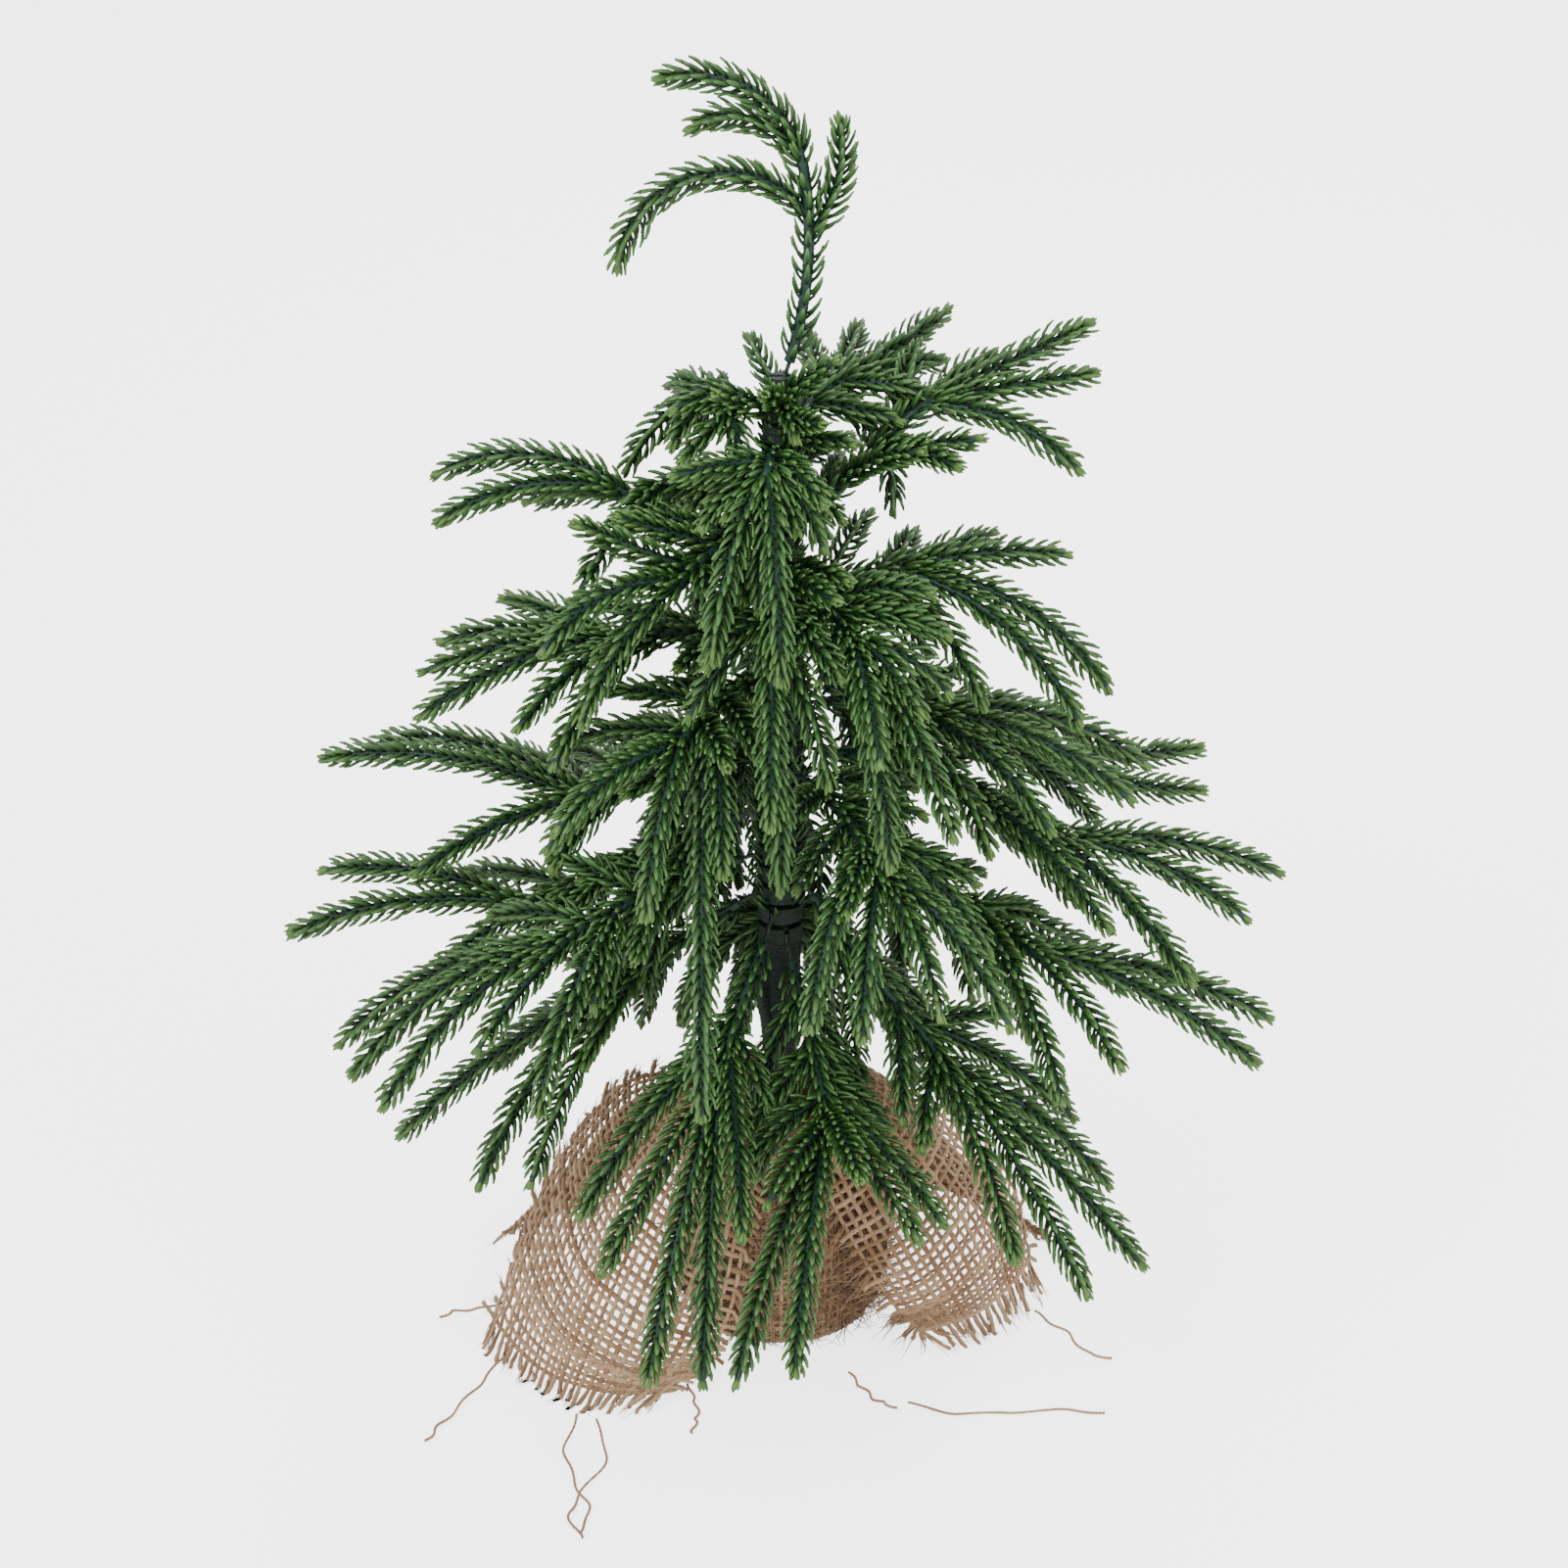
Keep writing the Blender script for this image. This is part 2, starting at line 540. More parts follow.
def needle_batch(points, ahead, side, turn, foot, lengths, leaving, arriving, widths):
    """Curved blades from points on a stem's axis, swept forward from leaving to arriving (radians)."""
    lift = np.cross(np.broadcast_to(side, ahead.shape), ahead)
    outward = np.cos(turn)[:, None] * side + np.sin(turn)[:, None] * lift
    flat = np.cross(ahead, outward)
    bend = leaving - arriving
    slope = leaving[:, None] - bend[:, None] * STATIONS
    radius = (lengths / bend)[:, None]
    forward = radius * (np.sin(leaving)[:, None] - np.sin(slope))
    rising = radius * (np.cos(slope) - np.cos(leaving)[:, None]) + foot
    paths = points[:, None] + forward[..., None] * ahead[:, None] + rising[..., None] * outward[:, None]
    course = np.cos(slope)[..., None] * ahead[:, None] + np.sin(slope)[..., None] * outward[:, None]
    across = np.broadcast_to(flat[:, None], course.shape)
    profile = widths[:, None] * WIDTH_PROFILE
    half_widths = NEEDLE_HALF_WIDTH * profile
    half_heights = NEEDLE_HALF_THICKNESS * np.sqrt(profile * widths[:, None])
    return swept(paths, course, across, half_widths, half_heights, NEEDLE_CORNERS)


def clad(start, end, arch, pitch, bare, foot, freshness, needle_length=NEEDLE_LENGTH):
    """Needles along one arc, their feet that far from its axis, and how fresh each one looks.

    A finger or twig has some freshness, and a cluster closes its end. A stem has none.
    """
    length = arc_length(start, end, arch)
    distance, turn = needle_feet(length, pitch, bare)
    points, ahead, side, _ = arched(start, end, arch, distance / length)
    count = distance.size
    near_end = np.clip((distance - length + TIP_ZONE) / TIP_ZONE, 0, 1) * min(1.0, freshness * 1.6)
    lengths = needle_length * rng.uniform(0.86, 1.12, count) * (1 - END_SHORTENING * near_end)
    leaving = np.radians(LEAVING_ANGLE - END_LEAN * near_end + rng.normal(0, 5, count))
    arriving = np.radians(ARRIVING_ANGLE - END_CURL * near_end + rng.normal(0, 4, count))
    widths = rng.uniform(0.82, 1.14, count)
    batches = [needle_batch(points, ahead, side, turn, foot, lengths, leaving, arriving, widths)]
    fresh = [freshness * (0.05 + 0.3 * near_end**2) * rng.uniform(0.4, 1.3, count)]
    if freshness:
        batches.append(tip_cluster(start, end, arch))
        fresh.append(rng.uniform(0.2, 0.6, TIP_NEEDLES))
    return batches, fresh


def tip_cluster(start, end, arch):
    """The short needles that close a finger's end."""
    points, ahead, side, _ = arched(start, end, arch, np.ones(TIP_NEEDLES))
    turn = 2 * pi * np.arange(TIP_NEEDLES) / TIP_NEEDLES + rng.uniform(-0.3, 0.3, TIP_NEEDLES)
    leaving = np.radians(rng.uniform(8, 26, TIP_NEEDLES))
    lengths = rng.uniform(4.5, 6.5, TIP_NEEDLES)
    widths = rng.uniform(0.8, 1.0, TIP_NEEDLES)
    feet = points - 1.2 * ahead
    return needle_batch(feet, ahead, side, turn, 0.5, lengths, leaving, leaving * 0.4, widths)


def body_of(name):
    return name if name == "leader" else f"branch_{name}"


def place_on(stem, share):
    """The point at that share of a stem's length."""
    return arched(*stem, np.array([share]))[0][0]


def fingers_of(stem, tips):
    """Start, end and arch of each finger of a spray."""
    stem_length = arc_length(*stem)
    for order, (reach, heading, height, arch, along) in enumerate(tips):
        share = min(along, 1 - (HUB_INSET + order * FINGER_STAGGER) / stem_length)
        yield place_on(stem, share), polar(reach, heading, height), arch


def twigs_of(name, stem):
    """Start, end and arch of the small twigs that fill a spray out toward the trunk."""
    if name == "leader":
        return []
    twigs = []
    # A twig that is left out is drawn all the same, so that it doesn't change the ones after it.
    for number, share in enumerate(TWIG_SHARES):
        point, ahead, side, _ = arched(*stem, np.array([share]))
        swing = radians(rng.uniform(38, 62)) * (1 if number % 2 else -1)
        climb = rng.uniform(-0.45, 0.35) - (0.5 if name in CROWN_BRANCHES else 0.0)
        course = cos(swing) * ahead[0] + sin(swing) * side + climb * UP
        length = rng.uniform(34, 54) * (0.75 if name in CROWN_BRANCHES else 1.0)
        if share < 0.55 and name in BARE_BRANCHES or number % 3 == 2 and name in OPEN_BRANCHES:
            continue
        twigs.append((point[0], point[0] + length * unit(course), TWIG_ARCH))
    for share, *end, bend in INNER_TWIGS.get(name, []):
        twigs.append((place_on(stem, share), polar(*end), bend))
    return twigs


def moulded_stem(start, end, arch, radius, first, tapered):
    """One stem from the distance first, with moulded rings along it and a rounded end."""
    length = arc_length(start, end, arch)
    distance = np.arange(first, length, FINGER_PITCH / 4)
    whorl = np.arange(distance.size) % 2 == 0
    size = radius * (1 + 0.10 * whorl + rng.uniform(-0.03, 0.03, distance.size))
    size *= 1 - STEM_TAPER * distance / length * tapered
    distance = np.concatenate([distance, length + radius * CAP_REACH])
    size = np.concatenate([size, size[-1] * CAP_PROFILE])
    points, ahead, side, _ = arched(start, end, arch, distance / length)
    across = np.broadcast_to(side, ahead.shape)[None]
    return swept(points[None], ahead[None], across, size[None], size[None], STEM_SIDES)


def spray_stems(name, stem, fingers, twigs):
    """The moulded stem of a spray and its fingers, in place of the plain solid."""
    batches = [moulded_stem(*stem, STEM_RADIUS, SLEEVE_START, 0)]
    batches += [moulded_stem(*finger, FINGER_RADIUS, 0.0, 1) for finger in fingers]
    batches += [moulded_stem(*twig, TWIG_RADIUS, 0.0, 1) for twig in twigs]
    points, faces, _ = joined(batches)
    stems = mesh_object(f"stems_{name}", points, faces, body_of(name), stems_look)
    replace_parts(stems, f"spray_{name}")


def spray_needles(name, stem, fingers, twigs):
    """All the needles of one spray, as one piece that rides on its branch."""
    pitch, needle = STEM_PITCH, NEEDLE_LENGTH
    if name == "leader":
        pitch, needle = LEADER_PITCH, LEADER_NEEDLE_LENGTH
    clothed = [clad(*stem, pitch, BARE_STEM, STEM_RADIUS - 0.7, 0.0, needle)]
    for finger in fingers:
        clothed.append(clad(*finger, FINGER_PITCH, 3.0, FINGER_RADIUS - 0.6, 1.0, needle))
    add_needles(name, body_of(name), *gathered(clothed + clad_twigs(twigs)))


def clad_twigs(twigs):
    return [clad(*twig, FINGER_PITCH, 2.0, TWIG_RADIUS - 0.5, 0.6) for twig in twigs]


def gathered(clothed):
    """The batches of needles from several stems, and how fresh each needle looks."""
    batches, fresh = (sum(lists, []) for lists in zip(*clothed))
    return batches, np.concatenate(fresh)


def add_needles(name, body, batches, fresh, blade_share=1.0):
    """One piece from batches of needles, with what their material reads."""
    points, faces, _ = joined(batches)
    per_needle = STATIONS.size * NEEDLE_CORNERS
    attributes = {
        "blade": np.tile((STATIONS[:, None] * blade_share + PALE_EDGE).ravel(), fresh.size),
        "fresh": np.repeat(np.clip(fresh, 0, 1), per_needle),
        "tint": np.repeat(rng.uniform(0, 1, fresh.size), per_needle),
    }
    mesh_object(f"needles_{name}", points, faces, body, needles_look, attributes)


def spray_of_twigs(name, body, twigs):
    """Twigs with no branch of their own, clad like the others."""
    points, faces, _ = joined([moulded_stem(*twig, TWIG_RADIUS, 0.0, 1) for twig in twigs])
    mesh_object(f"stems_{name}", points, faces, body, stems_look)
    add_needles(name, body, *gathered(clad_twigs(twigs)))


joint_at = {joint["name"]: np.array(joint["pos_m"]) / MM for joint in frame["joints"]}
for name, (heading, reach, height, arch, tips) in BRANCHES.items():
    stem = (joint_at[f"bend_{name}"], polar(reach, heading, height), arch)
    fingers = list(fingers_of(stem, tips))
    side_twigs = twigs_of(name, stem)
    spray_stems(name, stem, fingers, side_twigs)
    spray_needles(name, stem, fingers, side_twigs)


def trunk_needles():
    """Needles that spring from the trunk between its branches."""
    foot, top = polar(0.01, 0, TRUNK_NEEDLES_FOOT), polar(0.3, 0, TRUNK_NEEDLES_TOP)
    length = arc_length(foot, top, 0)
    distance, turn = needle_feet(length, TRUNK_NEEDLE_PITCH, 0.0)
    distance = np.minimum(np.concatenate([distance, distance + 1.6]), length)
    turn = np.concatenate([turn, turn + pi / NEEDLE_ROWS])
    points, ahead, side, _ = arched(foot, top, 0, distance / length)
    count = distance.size
    radius = np.interp(distance, [0, length], [6.0, 3.4])[:, None]
    shorter = np.interp(distance, [0.7 * length, length], [1.0, 0.7])
    steeper = np.interp(distance, [0.95 * length, length], [1.0, 0.3])
    lengths = rng.uniform(9, 15, count) * shorter
    leaving = np.radians(rng.uniform(40, 75, count) * steeper)
    arriving = np.radians(rng.uniform(14, 34, count))
    widths = rng.uniform(0.8, 1.1, count)
    batch = needle_batch(points, ahead, side, turn, radius, lengths, leaving, arriving, widths)
    add_needles("trunk", "base", [batch], np.zeros(count), blade_share=0.7)


trunk_needles()
spray_of_twigs(
    "trunk_twigs",
    "base",
    [(polar(TRUNK_TWIG_INSET, heading, start), polar(reach, heading, height), bend)
     for start, reach, heading, height, bend in TRUNK_TWIGS],
)


# --- Trunk ---

TAPE_PITCH = 1.5            # from one winding to the next
STRAND_PITCH = 1.9          # and on the strand of wires that leaves the bundle
TAPE_FOOT = 84.0
TAPE_TOP = 184.0


def wound(path, radii, pitch, name, stations, sides):
    """Tape wound on a bundle: a tube with a sawtooth lap at each winding and shallow lobes inside."""
    share = np.linspace(0, 1, stations)
    points = smooth_curve(path, share)
    ahead = unit(np.gradient(points, axis=0))
    across = unit(np.cross(np.array([0.0, 1.0, 0.0]), ahead))
    upward = np.cross(ahead, across)
    turn = 2 * pi * np.arange(sides) / sides
    run = run_along(points)
    lap = (run[:, None] / pitch + turn / (2 * pi)) % 1.0
    size = np.interp(share, np.linspace(0, 1, len(radii)), radii)[:, None]
    lobes = 0.3 * np.cos(5 * turn + run[:, None] * 0.05) + 0.2 * np.cos(3 * turn - run[:, None] * 0.03)
    size = size + lobes + 0.26 * lap + 0.08 * np.sin(turn * 9 + run[:, None] * 2.1)
    ring = np.cos(turn)[:, None] * across[:, None] + np.sin(turn)[:, None] * upward[:, None]
    skin = (points[:, None] + size[..., None] * ring).reshape(-1, 3)
    mesh_object(name, skin, tube_faces(stations, sides), "base", tape_look)


bundle = [(0, 0, TAPE_FOOT), (0, 0, 118), (0, 0, 150), (0, 0, TAPE_TOP)]
wound(bundle, [6.6, 6.6, 6.8, 8.6, 8.7, 8.7], TAPE_PITCH, "trunk_tape", 460, 40)
strand = [(-1.5, -4.0, 122), (-4.0, -5.5, 140), (-7.5, -5.0, 158), (-8.5, -4.5, TAPE_TOP - 3)]
wound(strand, [1.2, 3.2, 3.6, 3.8], STRAND_PITCH, "trunk_strand", 170, 28)


# --- Burlap ---

YARN_PITCH = 3.7
YARN_RADIUS = 1.13
YARN_FLATNESS = 0.6
YARN_WAVE = 0.55            # how far a yarn weaves over and under
YARN_SIDES = 5
POINTS_PER_CROSSING = 2
STRAY_POINTS = 5            # of a flap's yarn past an edge of its weave
GROUND_GAP = 0.3            # the lowest that jute lies
FLAP_GROUND_GAP = 0.5
FUZZ_TINT = 0.8


def yarns(paths, normals, phase, tint, thin=1.0):
    """Woven yarns: paths offset over and under along normals, with uneven thickness."""
    radii = YARN_RADIUS * thin * rng.uniform(0.8, 1.2, (len(paths), 1))
    radii = radii * (1 + 0.1 * rng.normal(0, 1, paths.shape[:2]).clip(-1.5, 1.5))
    woven = paths + (YARN_WAVE * np.cos(pi * phase))[..., None] * normals
    batch = tubes(woven, normals, radii, YARN_FLATNESS, YARN_SIDES)
    return batch, np.repeat(tint, paths.shape[1] * YARN_SIDES)


def hairs(feet, directions, length, radius, curl=0.6):
    """Loose fibres: thin curling tubes from points."""
    count = len(feet)
    share = np.linspace(0, 1, 4)
    size = length * rng.uniform(0.35, 1.3, count)
    curl = rng.normal(0, 1, (count, 3)) * curl
    paths = (
        feet[:, None]
        + directions[:, None] * (size[:, None] * share)[..., None]
        + curl[:, None] * (size[:, None] * share**2)[..., None]
    )
    reference = unit(rng.normal(0, 1, (count, 1, 3)))
    thickness = radius * np.broadcast_to(1 - 0.7 * share, (count, share.size))
    return tubes(paths, reference, thickness, 1.0, 3)


def scattered(pool, count, length, radius):
    """Hairs that stand off every way from points picked out of a pool."""
    feet = pool[rng.integers(0, len(pool), count)]
    return hairs(feet, unit(rng.normal(0, 1, feet.shape)), length, radius)


def wander(count, steps, size):
    """How far each of some yarns has strayed from its line at each step."""
    return np.cumsum(rng.normal(0, size, (count, steps)), axis=1)


def jute_piece(name, points, faces, tint, look=jute_look):
    return mesh_object(name, points, faces, "base", look, {"tint": tint})


class Flap:
    """A corner of the cloth: a sheet through three ribs from the neck to its hem.

    Its pleats have a depth, a count and a phase. Its fringe is how far the bare yarns run past its
    first edge, its hem and its last edge.
    """

    def __init__(self, name, width, pleats, fringe, ribs):
        self.name = name
        self.ribs = [np.array([polar(*knot) for knot in rib]) for rib in ribs]
        self.pleats = pleats
        self.fringe = fringe
        self.columns = int(width / YARN_PITCH)
        middle_line = self.sheet(np.full(60, 0.5), np.linspace(0, 1, 60))
        self.rows = int(run_along(middle_line)[-1] / YARN_PITCH)

    def sheet(self, u, v):
        """Points of the sheet, u from its first rib to its last and v from the neck to the hem."""
        first, middle, last = (smooth_curve(rib, v) for rib in self.ribs)
        u = u[..., None]
        flat = 2 * (u - 0.5) * (u - 1) * first + 4 * u * (1 - u) * middle + 2 * u * (u - 0.5) * last
        size, count, phase = self.pleats
        depth = size * (1 - 0.55 * v) * np.clip(v * 6, 0, 1)
        fold = depth * np.sin(2 * pi * count * u[..., 0] + phase + 0.8 * np.sin(3 * v))
        ripple = 0.7 * np.sin(9 * u[..., 0] + 11 * v + phase)
        flat[..., 2] += fold * 0.8 + ripple
        outward = flat * np.array([1.0, 1.0, 0.0])
        return flat + 0.3 * fold[..., None] * unit(outward + 1e-9)

    def normals(self, u, v):
        step = 0.01
        along_u = self.sheet(u + step, v) - self.sheet(u - step, v)
        lower, upper = np.clip(v - step, 0, 1), np.clip(v + step, 0, 1)
        along_v = self.sheet(u, upper) - self.sheet(u, lower)
        return unit(np.cross(along_v, along_u)), unit(along_u), unit(along_v)

    def lay(self, u, v, beyond_u, beyond_v):
        """Points on the sheet, run straight on past its edges by beyond_u and beyond_v."""
        points = self.sheet(u, v)
        normal, along_u, along_v = self.normals(u, v)
        points = points + beyond_u[..., None] * along_u + beyond_v[..., None] * along_v
        return points, normal

    def warp(self):
        """Yarns from the neck down past the hem: their paths, normals, weaving phase and tints."""
        column = (np.arange(self.columns) + rng.uniform(-0.13, 0.13, self.columns)) / (self.columns - 1)
        steps = self.rows * POINTS_PER_CROSSING
        v = np.concatenate([np.linspace(0, 1, steps), np.ones(STRAY_POINTS)])
        past = np.concatenate([np.zeros(steps), np.linspace(0.2, 1, STRAY_POINTS)])
        u_grid = column[:, None] + wander(self.columns, v.size, 0.0004)
        v_grid = np.broadcast_to(v, u_grid.shape)
        out = past * self.fringe[1] * rng.uniform(0.6, 1.15, (self.columns, 1))
        points, normal = self.lay(u_grid, v_grid, rng.normal(0, 0.35, out.shape) * past, out)
        points = points + rng.normal(0, 1, (self.columns, 1, 3)) * (past**2 * 1.2)[None, :, None]
        phase = v_grid * (self.rows - 1) + np.arange(self.columns)[:, None]
        return points, normal, phase, rng.uniform(0, 1, self.columns)

    def weft(self):
        """Yarns across, past both side edges."""
        row = (np.arange(self.rows) + rng.uniform(-0.13, 0.13, self.rows)) / (self.rows - 1)
        row = row[row > 0.12]
        steps = self.columns * POINTS_PER_CROSSING
        stray = np.linspace(0.2, 1, STRAY_POINTS)
        u = np.concatenate([np.zeros(STRAY_POINTS), np.linspace(0, 1, steps), np.ones(STRAY_POINTS)])
        past = np.concatenate([-stray[::-1], np.zeros(steps), stray])
        size = np.where(past < 0, self.fringe[0], self.fringe[2])
        v_grid = np.clip(row[:, None] + wander(row.size, u.size, 0.0004), 0, 1)
        u_grid = np.broadcast_to(u, v_grid.shape)
        out = past * size * rng.uniform(0.5, 1.15, (row.size, 1))
        points, normal = self.lay(u_grid, v_grid, out, rng.normal(0, 0.35, out.shape) * abs(past))
        sag = (past**2 * 2.0)[None, :, None]
        points = points + sag * rng.normal(0, 1, (row.size, 1, 3)) - UP * sag
        phase = u_grid * (self.columns - 1) + np.arange(row.size)[:, None] + 1
        return points, normal, phase, rng.uniform(0, 1, row.size)

    def fibres(self, warp, weft):
        """Fuzz all over and at the frayed edges, and untwisted ends that run on with each yarn."""
        batches = [scattered(np.concatenate([warp.reshape(-1, 3), weft.reshape(-1, 3)]), 620, 4.0, 0.11)]
        frayed = [warp[:, -STRAY_POINTS:].reshape(-1, 3), weft[:, :STRAY_POINTS].reshape(-1, 3)]
        batches.append(scattered(np.concatenate(frayed), 260, 3.4, 0.13))
        ends = np.concatenate([warp[:, -STRAY_POINTS], weft[:, STRAY_POINTS - 1]])
        outer = np.concatenate([warp[:, -1], weft[:, 0]])
        ends, ways = np.repeat(ends, 6, axis=0), unit(np.repeat(outer - ends, 6, axis=0))
        ends = ends + rng.normal(0, 0.45, ends.shape)
        ways = unit(ways + rng.normal(0, 0.07, ways.shape))
        return batches + [hairs(ends, ways, self.fringe[1], 0.34, 0.1)]

    def weave(self):
        warp, *warp_rest = self.warp()
        warp_batch, warp_tint = yarns(warp, *warp_rest)
        weft, *weft_rest = self.weft()
        weft_batch, weft_tint = yarns(weft, *weft_rest)
        points, faces, counts = joined([warp_batch, weft_batch] + self.fibres(warp, weft))
        fuzz_tint = np.full(sum(counts[2:]), FUZZ_TINT)
        tint = np.concatenate([warp_tint, weft_tint, fuzz_tint])
        jute_piece(f"burlap_{self.name}", above_ground(points, FLAP_GROUND_GAP), faces, tint)


NECK = 13.0                 # the cloth's radius where it is tied
FLAPS = [
    Flap("flap_front_left", 104, (2.6, 1.8, 0.6), (12.0, 13.0, 7.0), [
        [(NECK, 160, 95), (34, 162, 108), (67, 163, 102), (90, 162, 76), (108, 176, 48), (131, 193, 9)],
        [(NECK, 205, 95), (33, 206, 106), (60, 207, 86), (84, 210, 56), (107, 215, 27), (123, 218, 6)],
        [(NECK, 252, 95), (27, 252, 98), (46, 251, 66), (60, 248, 30), (80, 244, 12), (102, 240, 7)],
    ]),
    Flap("flap_front_right", 78, (2.4, 1.5, 2.0), (5.0, 14.0, 7.0), [
        [(NECK, 290, 95), (27, 296, 100), (44, 303, 70), (60, 311, 43), (70, 318, 24), (79, 323, 12)],
        [(NECK, 328, 95), (32, 334, 107), (57, 337, 90), (78, 339, 62), (91, 341, 36), (98, 343, 16)],
        [(NECK, 12, 95), (34, 14, 107), (64, 14, 97), (90, 13, 76), (107, 11, 47), (113, 3, 18)],
    ]),
    Flap("flap_back_right", 120, (3.4, 2.4, 4.0), (9.0, 11.0, 9.0), [
        [(NECK, 22, 95), (32, 22, 107), (62, 22, 88), (86, 22, 58), (108, 22, 30), (128, 22, 7)],
        [(NECK, 52, 95), (34, 52, 108), (64, 52, 87), (86, 52, 57), (106, 52, 29), (122, 52, 5)],
        [(NECK, 82, 95), (32, 82, 107), (60, 82, 88), (84, 82, 58), (106, 82, 30), (128, 82, 7)],
    ]),
    Flap("flap_back_left", 104, (3.2, 2.1, 1.2), (8.0, 11.0, 8.0), [
        [(NECK, 114, 95), (32, 114, 107), (62, 114, 90), (86, 114, 62), (108, 114, 34), (130, 114, 9)],
        [(NECK, 136, 95), (34, 136, 108), (64, 136, 92), (88, 136, 66), (108, 136, 38), (124, 136, 10)],
        [(NECK, 162, 95), (32, 162, 107), (62, 163, 92), (86, 163, 66), (106, 163, 40), (128, 163, 14)],
    ]),
]
for flap in FLAPS:
    flap.weave()


# The bag that the cloth makes round the pot: two layers, drawn into folds toward the tie.

BAG_PROFILE = [             # radius and height
    (36.5, 0), (42.5, 7), (45.5, 22), (46.0, 38), (44.8, 54), (41.0, 68), (29.0, 80), (16.0, 90),
    (12.2, 98)]
BAG_COLUMNS = 84
BAG_ROWS = 36
BAG_YARN = 0.85             # how thick its yarns are, next to those of the flaps
BAG_HAIRS = 8500
LINING_INSET = 0.8


def bag_surface(turn, share, inset=0.0):
    """Points of the gathered bag at angles round it and shares of its height, in from its outside."""
    radius, height = np.moveaxis(smooth_curve(BAG_PROFILE, share), -1, 0)
    drawn = np.clip((share - 0.25) / 0.6, 0, 1)
    folds = (
        1.5 * np.sin(11 * turn + 2.0 * np.sin(2 * turn) + 0.7)
        + 1.0 * np.sin(17 * turn + 1.3)
        + 0.5 * np.sin(29 * turn)
    )
    slack = 0.9 * np.sin(3 * turn + 5 * share) + 0.6 * np.sin(5 * turn - 9 * share)
    folds = folds * drawn * np.clip(radius / 30, 0.25, 1)
    size = radius + folds + slack * np.clip(share * 8, 0, 1) - inset
    return np.stack([size * np.cos(turn), size * np.sin(turn), height], axis=-1)


def bag_normals(turn, share):
    step = 0.004
    low, high = np.clip(share - step, 0, 1), np.clip(share + step, 0, 1)
    round_it = bag_surface(turn + step, share) - bag_surface(turn - step, share)
    up_it = bag_surface(turn, high) - bag_surface(turn, low)
    return unit(np.cross(round_it, up_it))


def bag_lining():
    """The inner layer that shows through the weave, closed under the pot and at the neck."""
    around, rows = 180, 56
    turn, share = np.meshgrid(2 * pi * np.arange(around) / around, np.linspace(0, 1, rows))
    points = bag_surface(turn, share, LINING_INSET).reshape(-1, 3)
    tint = 0.5 + 0.3 * np.sin(23 * turn + 40 * share)
    return jute_piece("burlap_lining", points, tube_faces(rows, around), tint, lining_look)


def bag_yarns(turn, share, phase, count):
    """Yarns of the bag along grids of angles and shares of its height."""
    paths, normals = bag_surface(turn, share), bag_normals(turn, share)
    return yarns(paths, normals, phase, rng.uniform(0, 1, count), BAG_YARN)


def bag_weave():
    """The outer layer, woven yarn by yarn."""
    share = np.linspace(0.01, 1, BAG_ROWS * POINTS_PER_CROSSING)
    column = np.arange(BAG_COLUMNS)
    turn = 2 * pi * (column + rng.uniform(-0.15, 0.15, BAG_COLUMNS)) / BAG_COLUMNS
    turn = turn[:, None] + wander(BAG_COLUMNS, share.size, 0.0015)
    share = np.broadcast_to(share, turn.shape)
    warp, warp_tint = bag_yarns(turn, share, share * BAG_ROWS + column[:, None], BAG_COLUMNS)
    row = np.arange(BAG_ROWS)
    turn = np.linspace(0, 2 * pi, BAG_COLUMNS * POINTS_PER_CROSSING)
    share = ((row + 0.5) / BAG_ROWS)[:, None] + wander(BAG_ROWS, turn.size, 0.0007)
    share = np.clip(share, 0.01, 1)
    turn = np.broadcast_to(turn, share.shape)
    phase = turn / (2 * pi) * BAG_COLUMNS + row[:, None] + 1
    weft, weft_tint = bag_yarns(turn, share, phase, BAG_ROWS)
    points, faces, _ = joined([warp, weft])
    tint = np.concatenate([warp_tint, weft_tint])
    jute_piece("burlap_bag", above_ground(points, GROUND_GAP), faces, tint)


def bag_fuzz():
    """Matted fibres over the gathered jute: they point every way and lean off it a little."""
    turn = rng.uniform(0, 2 * pi, BAG_HAIRS)
    share = rng.uniform(0.1, 0.94, BAG_HAIRS)
    feet = bag_surface(turn, share)
    outward = bag_normals(turn, share)
    lying = unit(rng.normal(0, 1, feet.shape)) + outward * rng.uniform(0.0, 0.5, (BAG_HAIRS, 1))
    feet = feet + outward * rng.uniform(0, 1.2, (BAG_HAIRS, 1))
    points, faces = hairs(feet, unit(lying), 6.5, 0.36, 0.8)
    tint = np.repeat(rng.uniform(0.2, 1.0, BAG_HAIRS), len(points) // BAG_HAIRS)
    jute_piece("burlap_fuzz", above_ground(points, GROUND_GAP), faces, tint)


bag_weave()
bag_fuzz()
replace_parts(bag_lining(), "burlap_cloth")


# --- Twine and loose threads ---


def plied(path, strand_radius, lay, name, tint):
    """Two strands twisted round each other along a path, once round in each lay."""
    ahead = unit(np.gradient(path, axis=0))
    askew = np.array([0.13, 0.31, 0.94])    # along no stretch of any path
    across = unit(np.cross(askew, ahead))
    upward = np.cross(ahead, across)
    run = run_along(path)
    batches = []
    for start in (0, pi):
        spin = (2 * pi * run / lay + start)[:, None]
        strand = path + strand_radius * 0.75 * (np.cos(spin) * across + np.sin(spin) * upward)
        radii = np.full((1, len(path)), strand_radius)
        batches.append(tubes(strand[None], upward[None], radii, 1.0, 6))
    batches.append(scattered(path, max(6, int(run[-1] / 3)), 3.0, 0.09))
    points, faces, _ = joined(batches)
    tint = np.full(len(points), tint)
    return jute_piece(name, above_ground(points, GROUND_GAP), faces, tint)


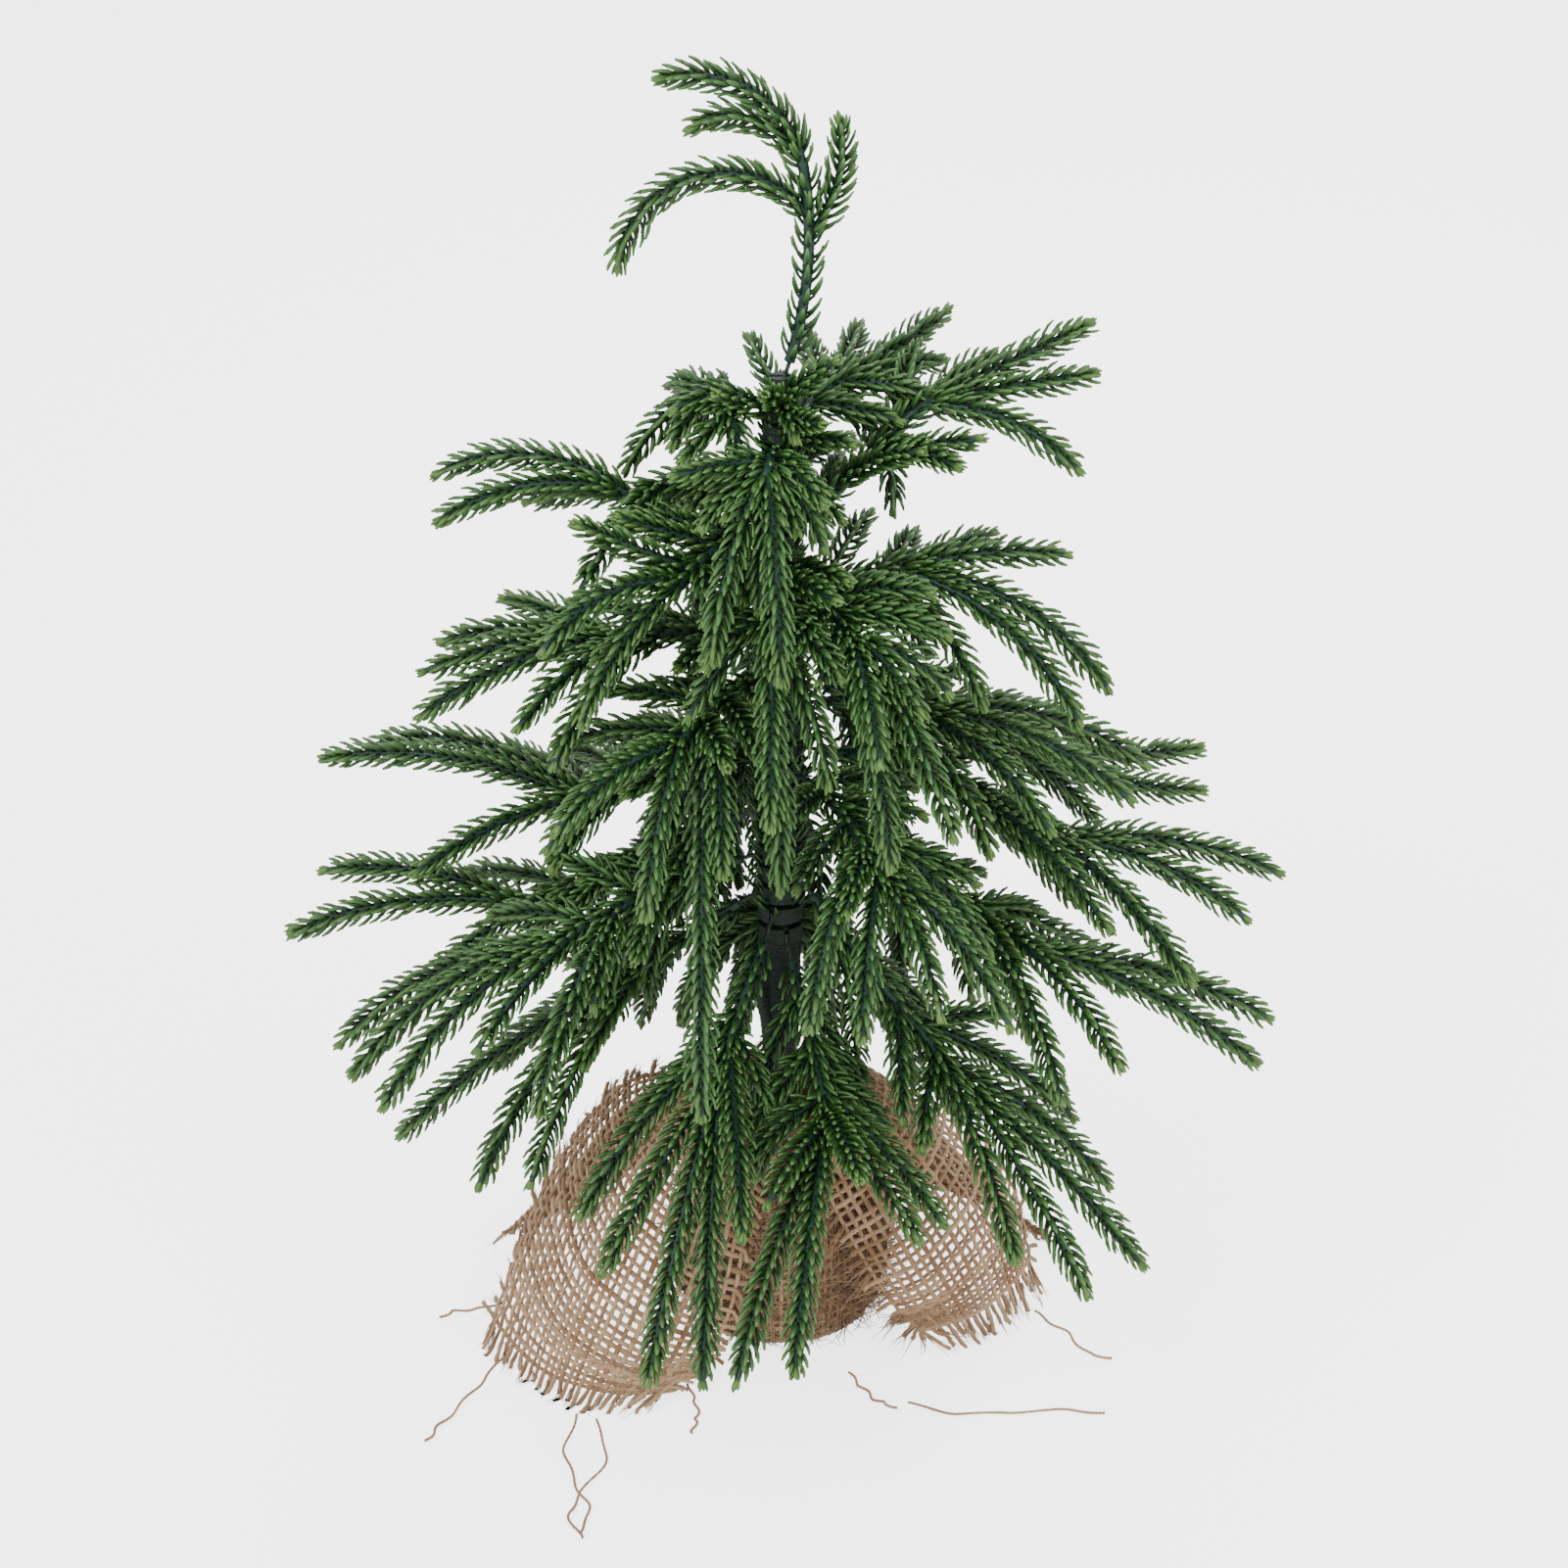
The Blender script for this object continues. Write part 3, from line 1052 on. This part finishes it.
def twine_path():
    """Nearly three turns round the neck."""
    turn = np.linspace(0, 5.6 * pi, 420)
    radius = NECK + 2.0 + 0.25 * np.sin(3 * turn)
    return np.stack([radius * np.cos(turn), radius * np.sin(turn), 91.5 + turn / (2 * pi) * 2.3], axis=-1)


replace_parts(plied(twine_path(), 0.6, 4.5, "twine_tie", 0.35), "jute_tie")

THREADS = [                 # loose yarns of the hems, from the cloth out over the ground
    [(-88, -104, 5), (-92, -128, 2), (-86, -152, 1.2), (-80, -172, 1.2), (-84, -188, 1.2)],
    [(-80, -108, 5), (-74, -132, 2), (-84, -158, 1.2), (-88, -176, 1.2), (-82, -191, 1.2)],
    [(-122, -62, 8), (-134, -82, 3), (-146, -104, 1.2), (-152, -118, 1.2)],
    [(-118, -20, 14), (-132, -22, 9), (-145, -18, 5), (-152, -20, 3)],
    [(-40, -78, 4), (-36, -96, 1.5), (-38, -112, 1.2)],
    [(56, -96, 6), (76, -98, 2), (98, -96, 1.4), (122, -94, 1.2), (140, -96, 1.2)],
    [(30, -70, 5), (40, -84, 1.5), (50, -92, 1.2)],
    [(112, -40, 18), (126, -44, 10), (136, -52, 4), (146, -52, 1.4)],
]
for number, knots in enumerate(THREADS):
    share = np.linspace(0, 1, 110)
    line = smooth_curve(knots, share)
    line += np.stack([0.8 * np.sin(21 * share + number), 0.8 * np.cos(17 * share), 0 * share], axis=-1)
    plied(line, 0.42, 3.0, f"loose_thread_{number}", 0.3 + 0.08 * number)


# --- Floor, light and camera ---

CAMERA_TARGET = np.array([0.0015, 0.0, 0.257])      # metres, as the rest of this section
CAMERA_DISTANCE = 2.0
CAMERA_ELEVATION = radians(25)
SENSOR_WIDTH = 36.0
VIEW_WIDTH = 0.6724         # of the plane through the trunk
FLOOR_HALF_WIDTH = 12.0
FLOOR_TONE = 0.97
FLOOR_GLOW = 2.8
WORLD_STRENGTH = 1.2
LIGHT_TARGET = (0, 0, 0.28)
LIGHTS = {                  # place, size and power
    "key": ((-0.9, -1.3, 1.9), 0.9, 34),
    "fill": ((1.5, -1.2, 0.9), 1.2, 14),
    "rim": ((0.3, 1.6, 1.5), 1.0, 16),
}


def floor_material():
    """A matt backdrop that looks paler to the camera than the light it sends back to the tree."""
    look = Nodes("floor", 0.9, 0.2)
    look.colour(look.ramp(look.noise(2.0), (0.0, (FLOOR_TONE,) * 3), (1.0, (0.99 * FLOOR_TONE,) * 3)))
    seen = look.node("ShaderNodeLightPath").outputs["Is Camera Ray"]
    look.feed(look.shader.inputs["Emission Color"], (1.0, 1.0, 1.0, 1.0))
    look.feed(look.shader.inputs["Emission Strength"], look.maths("MULTIPLY", seen, FLOOR_GLOW))
    return look.material


def add_floor():
    mesh = bpy.data.meshes.new("floor")
    size = FLOOR_HALF_WIDTH
    corners = [(-size, -size, 0), (size, -size, 0), (size, size, 0), (-size, size, 0)]
    mesh.from_pydata(corners, [], [(0, 1, 2, 3)])
    mesh.materials.append(floor_material())
    linked("floor", mesh)


def aim(item, place, target):
    """Puts an object at place, with its -Z toward target."""
    direction = unit(np.asarray(place, float) - np.asarray(target, float))
    item.location = place
    item.rotation_euler = (np.arccos(direction[2]), 0, atan2(direction[1], direction[0]) + pi / 2)


def add_light(name, place, size, power):
    light = bpy.data.lights.new(name, "AREA")
    light.size = size
    light.energy = power
    aim(linked(name, light), place, LIGHT_TARGET)


def add_world():
    world = bpy.data.worlds.new("studio")
    world.use_nodes = True
    background = world.node_tree.nodes["Background"]
    background.inputs["Color"].default_value = (1, 1, 1, 1)
    background.inputs["Strength"].default_value = WORLD_STRENGTH
    bpy.context.scene.world = world


def add_camera():
    data = bpy.data.cameras.new("camera")
    data.sensor_width = SENSOR_WIDTH
    data.lens = SENSOR_WIDTH * CAMERA_DISTANCE / VIEW_WIDTH
    camera = linked("camera", data)
    away = np.array([0, -cos(CAMERA_ELEVATION), sin(CAMERA_ELEVATION)])
    aim(camera, CAMERA_TARGET + CAMERA_DISTANCE * away, CAMERA_TARGET)
    bpy.context.scene.camera = camera


add_floor()
add_world()
for name, (place, size, power) in LIGHTS.items():
    add_light(name, place, size, power)
add_camera()
